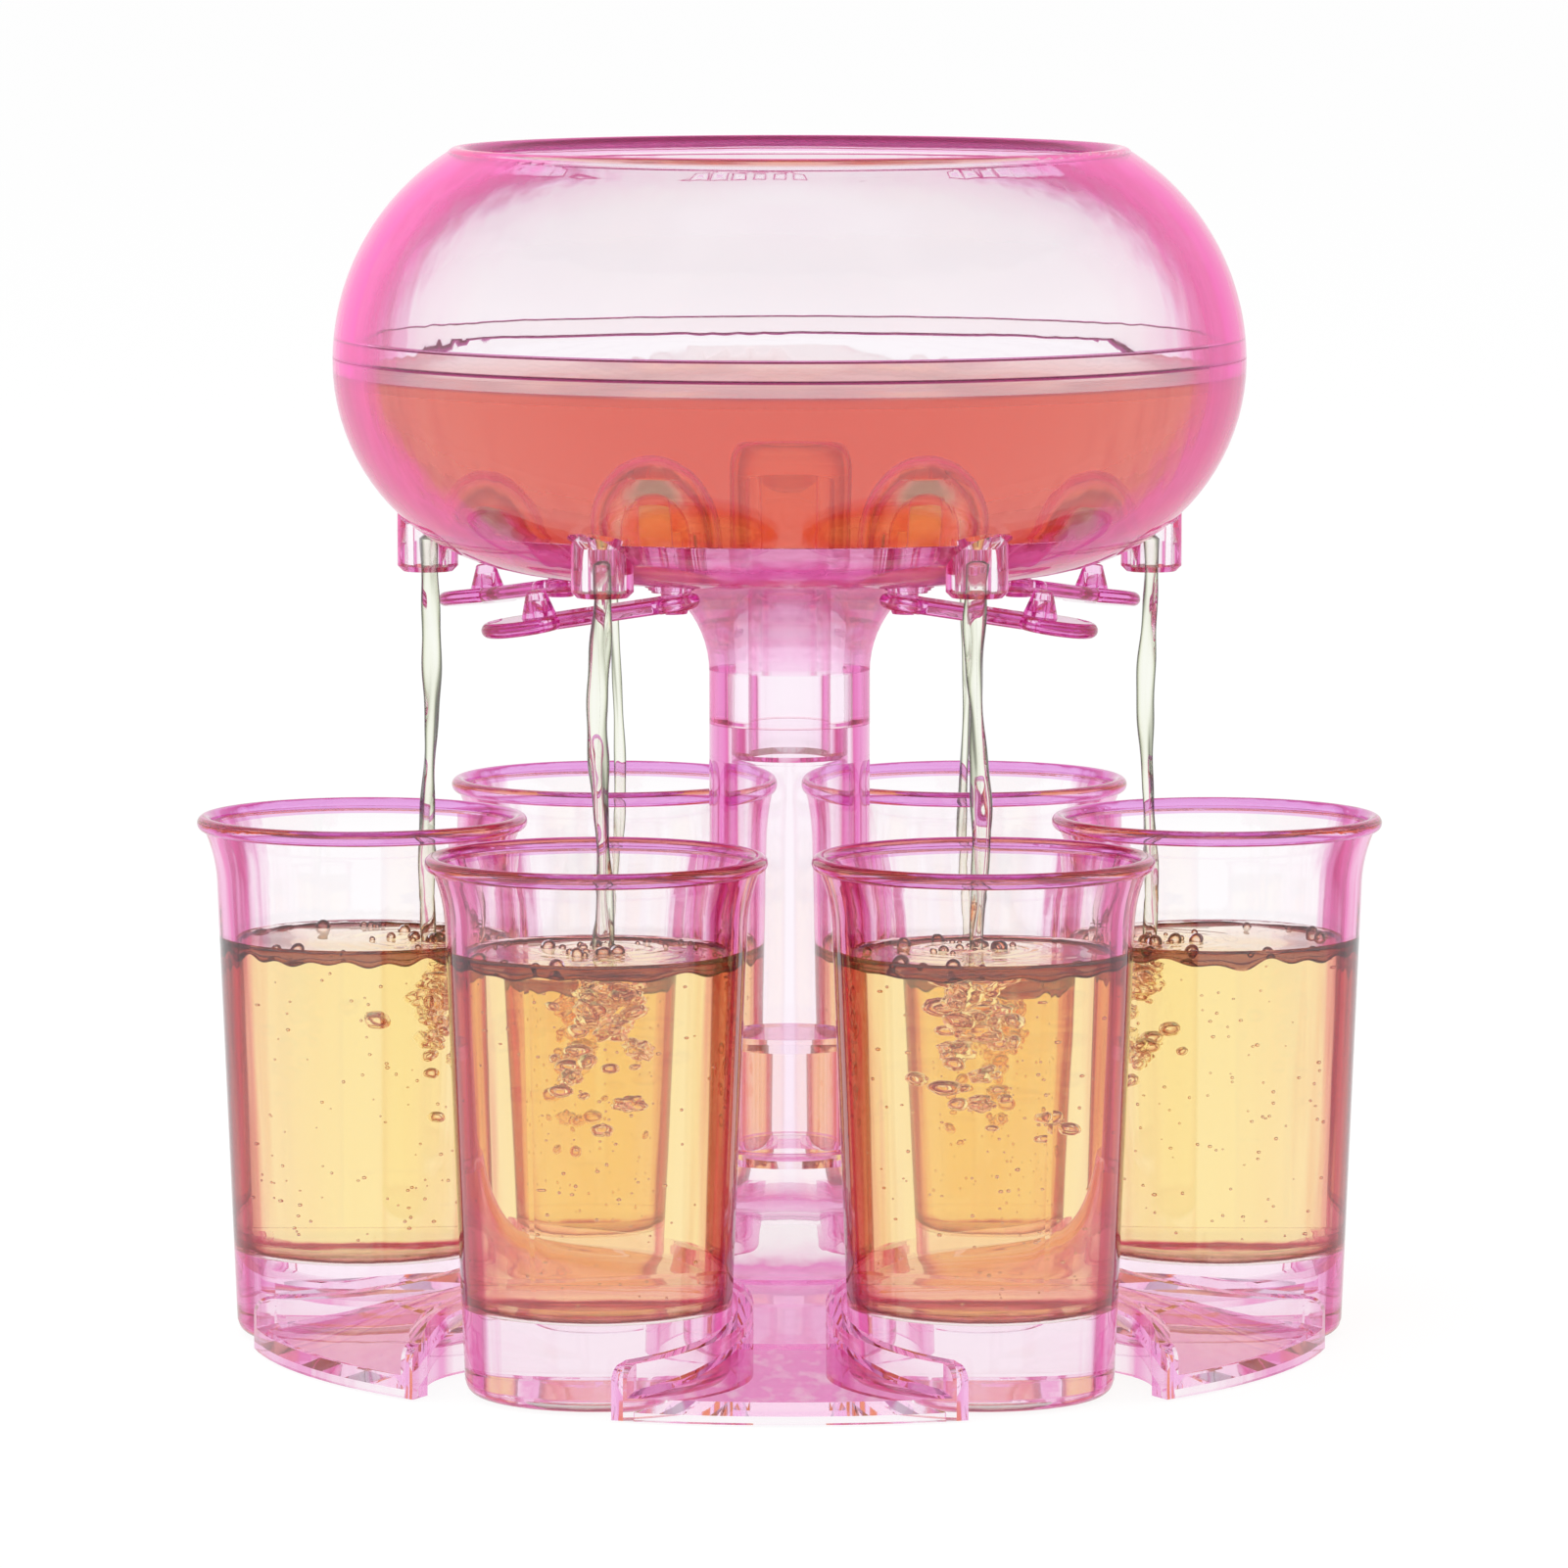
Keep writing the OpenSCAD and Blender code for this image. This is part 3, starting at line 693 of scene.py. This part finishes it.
def glass_bubbles(obj, i, centre, entry, level):
    """Fine specks all through the drink, round bubbles about the stream and its torn air pocket."""
    rng = np.random.default_rng(BUBBLE_SEED + i)
    mesh = bmesh.new()
    mesh.from_mesh(obj.data)
    depth = level - GLASS_FLOOR
    axis = Vector((centre.x, centre.y, 0))
    for _ in range(SPECKS):
        z = GLASS_FLOOR + 1.5 * MM + (depth - 4 * MM) * rng.uniform()
        away = (inner_radius(z) - 1.6 * MM) * math.sqrt(rng.uniform())
        angle = rng.uniform(*FULL_TURN)
        size = rng.uniform(0.13, 0.3) * MM
        place = axis + Vector((away * math.cos(angle), away * math.sin(angle), z))
        add_ball(mesh, place, (size, size, size), rng, 1, slot=1)
    for _ in range(ROUND_BUBBLES):
        sink = rng.uniform(0.12, 0.8) ** 1.2
        spread = (2.2 + 6.5 * sink) * MM * 0.6
        place = Vector((entry.x + rng.normal(0, spread), entry.y + rng.normal(0, spread),
                        level - sink * 32 * MM - 1.5 * MM))
        if (place.xy - axis.xy).length > inner_radius(place.z) - 2.4 * MM:
            continue
        size = rng.uniform(0.5, 1.5) * MM * (1.15 - 0.5 * sink)
        add_ball(mesh, place, (size * 1.25, size, size * 0.75), rng, 3, 0.06, slot=1)
    for k, drop in enumerate(POCKET_DEPTHS):
        size = (3.6 - 0.33 * k) * MM
        spread = 1 + 0.5 * k
        place = Vector((entry.x + rng.uniform(-1, 1) * MM * spread,
                        entry.y + rng.uniform(-1, 1) * MM * spread, level - drop * MM))
        add_ball(mesh, place, (size, size * 0.7, size * 0.55), rng, 4, 0.22, slot=1)
    mesh.to_mesh(obj.data)
    mesh.free()


def glass_froth(i, material, centre, entry, level):
    """Thin-skinned bubbles that float on the drink, along the wall and about the stream."""
    rng = np.random.default_rng(FROTH_SEED + i)
    mesh = bmesh.new()
    wall = inner_radius(level)
    for k in range(FROTH_BUBBLES):
        size = rng.uniform(0.35, 1.25) * MM * (1 if k % 3 else 0.5)
        if k % 2:
            angle = rng.uniform(*FULL_TURN)
            away = wall - size - WETTING - rng.uniform(0.1, 2.5) * MM
            place = Vector((centre.x + away * math.cos(angle),
                            centre.y + away * math.sin(angle), 0))
        else:
            place = Vector((entry.x + rng.normal(0, 4 * MM), entry.y + rng.normal(0, 4 * MM), 0))
            if (place.xy - centre.xy).length > wall - size - 0.5 * MM:
                continue
        place.z = level + 0.15 * size
        add_ball(mesh, place, (size, size, size * 0.85), rng, 3, hollow=False)
        inner = size - BUBBLE_SKIN
        add_ball(mesh, place, (inner, inner, inner * 0.85), rng, 3)
    finish_liquid(add_object(f"glass_froth_{i}", mesh), material, f"shot_{i}")


def glass_drink(i, material, bubble_skin, painted_shade_material):
    """A glass's filling with its bubbles, the froth on it and a ring of painted shade at its edge."""
    centre = glass_centre(i)
    level = GLASS_LEVELS[i - 1] * MM
    entry = station(i, NOZZLE_RING_R)
    foot = arc((inner_radius(GLASS_FLOOR) - GLASS_CORNER, GLASS_FLOOR + GLASS_CORNER - WETTING),
               GLASS_CORNER, -90, 0, 8)
    wall = [(inner_radius(z), z)
            for z in np.linspace(GLASS_FLOOR + 2.5 * MM, level + 0.7 * MM, 20)]
    rim = inner_radius(level)
    top = [(rim - 0.7 * MM, level + 0.15 * MM)]
    across = [(r, level) for r in np.linspace(rim - 1.6 * MM, 0, 44)]
    profile = [(0, foot[0][1])] + foot + wall + top + across
    obj = lathe(f"glass_drink_{i}", profile, GLASS_STEPS, (centre.x, centre.y))
    ripple(obj, level, GLASS_SWELL, [entry])
    glass_bubbles(obj, i, centre, entry, level)
    finish_liquid(obj, material, f"shot_{i}", bubbles=bubble_skin)
    glass_froth(i, bubble_skin, centre, entry, level)
    # The ring is painted shade: dark drink where the drink meets the glass.
    edge = ring(f"glass_drink_edge_{i}", centre, rim - EDGE_THICK, level - 0.5 * MM,
                np.random.default_rng(EDGE_SEED + i))
    finish_liquid(edge, painted_shade_material, f"shot_{i}")


def stream(i, material):
    """The thread of drink that falls from a nozzle."""
    rng = np.random.default_rng(STREAM_SEED + i)
    tip = station(i, NOZZLE_RING_R)
    top = NOZZLE_TIP_Z + PLUG_ROOM
    bottom = GLASS_LEVELS[i - 1] * MM - STREAM_DIP
    phases = rng.uniform(*PHASE, 4)
    mesh = bmesh.new()
    sections = []
    for k in range(STREAM_SECTIONS + 1):
        t = k / STREAM_SECTIONS
        z = top + (bottom - top) * t
        sway = STREAM_SWAY * math.sin(math.pi * t)
        x = tip.x + sway * math.sin(4.6 * t + phases[0])
        y = tip.y + sway * math.sin(3.9 * t + phases[1])
        neck = 1 + 0.08 * math.sin(17 * t + phases[2]) + 0.05 * math.sin(41 * t + phases[3])
        twist = 5 * t + phases[0]
        radius = STREAM_R[i - 1] * (1 - 0.25 * t ** 0.6) * MM * neck
        if k in (0, STREAM_SECTIONS):
            radius *= 0.5
        section = []
        for m in range(STREAM_SIDES):
            turn = 2 * math.pi * m / STREAM_SIDES
            flat = 0.18 * (1 + math.cos(2 * (turn - twist)))
            reach = radius * (1 - flat + 0.06 * math.cos(3 * turn + 9 * t))
            section.append(mesh.verts.new((x + reach * math.cos(turn),
                                           y + reach * math.sin(turn), z)))
        sections.append(section)
    for low, high in zip(sections[1:], sections):
        for m in range(STREAM_SIDES):
            n = (m + 1) % STREAM_SIDES
            mesh.faces.new((low[m], low[n], high[n], high[m]))
    mesh.faces.new(sections[0])
    mesh.faces.new(list(reversed(sections[-1])))
    obj = add_object(f"stream_{i}", mesh)
    finish_liquid(obj, material, "bowl")
    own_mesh(obj)


# ---- Dressing -----------------------------------------------------------------------

# Dark lines at the lap between the two shells of the bowl, as (height, half width)
LAP_LINES = ((SEAM_Z, 0.2 * MM), (TONGUE_Z, 0.14 * MM))
RIM_LINE = (GLASS_RIM_Z, 1.3 * MM)


def dress_nodes():
    """Gives each solid the plastic of its family."""
    crown = clear_plastic("bowl_upper_plastic_clear", 9, BOWL_EDGE, streaks=0.025,
                          seams=LAP_LINES, haze=True)
    # Its golden core is painted light, for light that shines up through the drink at the lobes.
    bowl = clear_plastic("bowl_lower_plastic_clear", 8, BOWL_EDGE, seams=LAP_LINES,
                         foot=UNDERSIDE + 4 * MM, haze=True,
                         painted_light=(LOBE_RING_R + LOBE_R + 1.2 * MM, FLOOR_RIM, SEAM_Z),
                         thin=(25 * MM, 97 * MM, UNDERSIDE + 1 * MM))
    column = clear_plastic("column_plastic_clear", 12, TUBE_EDGE)
    base = clear_plastic("base_plastic_clear", 6, BASE_EDGE)
    stopper = clear_plastic("stopper_plastic_clear", 110, TUBE_EDGE)
    glass = clear_plastic("glass_plastic_clear", 2.5, CUP_EDGE, streaks=0.08,
                          seams=(RIM_LINE,), seam_tint=RIM_TINT)
    plastics = {"bowl_upper": crown, "bowl_lower": bowl, "column": column, "base": base,
                "stopper": stopper, "pivot": stopper, "glass": glass}
    for name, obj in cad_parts.items():
        obj.data.materials.clear()
        family = next(family for family in plastics if name.startswith(family))
        obj.data.materials.append(plastics[family])


def fill_with_drink():
    amber = (0.908, 0.25, 0.06)
    bowl_drink(drink_material("bowl_drink_amber", amber, 25, BOWL_DRINK_EDGE, BOWL_LEVEL))
    glass_amber = drink_material("glass_drink_amber", (0.98, 0.8, 0.0), 30)
    bubble_skin = drink_material("bubble_skin", None, 0, BUBBLE_EDGE)
    # Painted shade: a nearly opaque wine-dark drink for the ring at each glass's edge
    painted_shade_drink = drink_material("drink_edge_painted_shade", (0.5, 0.06, 0.12), 1500)
    pale = drink_material("stream_pale", (0.9, 0.9, 0.8), 20, STREAM_EDGE)
    for number in range(1, STATIONS + 1):
        glass_drink(number, glass_amber, bubble_skin, painted_shade_drink)
        stream(number, pale)


# Light passes many walls here before it leaves the object.
SCENE.cycles.max_bounces = 32
SCENE.cycles.transmission_bounces = 32
SCENE.cycles.glossy_bounces = 32
SCENE.cycles.transparent_max_bounces = 64

add_camera()
add_floor()
add_world()
add_softbox("softbox", (-0.7, -0.9, 1.7), (2.2, 2.2), 32)
dress_nodes()
fill_with_drink()
SCENE.view_settings.view_transform = "Standard"
